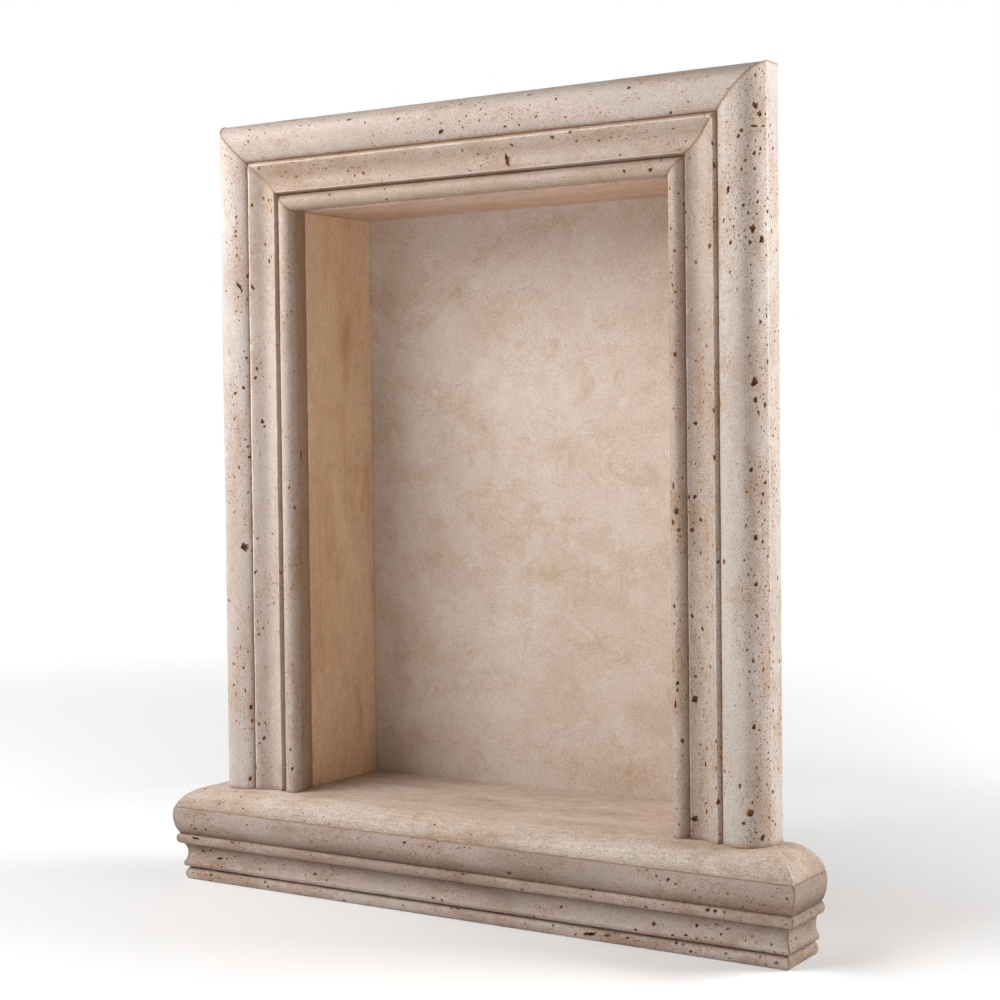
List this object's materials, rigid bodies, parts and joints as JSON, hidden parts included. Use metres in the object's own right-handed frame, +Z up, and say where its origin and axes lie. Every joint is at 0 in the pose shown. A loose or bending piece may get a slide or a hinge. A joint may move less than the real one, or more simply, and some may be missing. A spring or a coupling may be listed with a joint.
{
  "type": "travertine shower niche",
  "caption": "Built-in stone shower niche: a mitred moulded frame on a moulded sill with returns, around a shallow recess lined with honed panels.",
  "frame": {"origin": "middle of the sill moulding's flat back, on the face of the wall", "axes": "+Y into the wall, +Z up, +X to the right along the wall seen from the room"},
  "size_m": [0.5446, 0.1559, 0.6107],
  "materials": {
    "frame_stone": "unfilled ivory travertine, dressed mouldings with open pits",
    "sill_stone": "unfilled travertine, pinkish beige, dressed mouldings with open pits",
    "honed_floor": "filled and honed travertine with fine grain along its length",
    "honed_side": "filled and honed tan travertine",
    "honed_back": "filled and honed cloudy beige travertine"
  },
  "bodies": {
    "root": {"sill_slab": "honed_floor", "sill_moulding_front": "sill_stone", "sill_return_left": "sill_stone", "sill_return_right": "sill_stone", "frame_jamb_left": "frame_stone", "frame_jamb_right": "frame_stone", "frame_head": "frame_stone", "panel_left": "honed_side", "panel_right": "honed_side", "panel_top": "honed_side", "panel_back": "honed_back"}
  },
  "joints": []
}
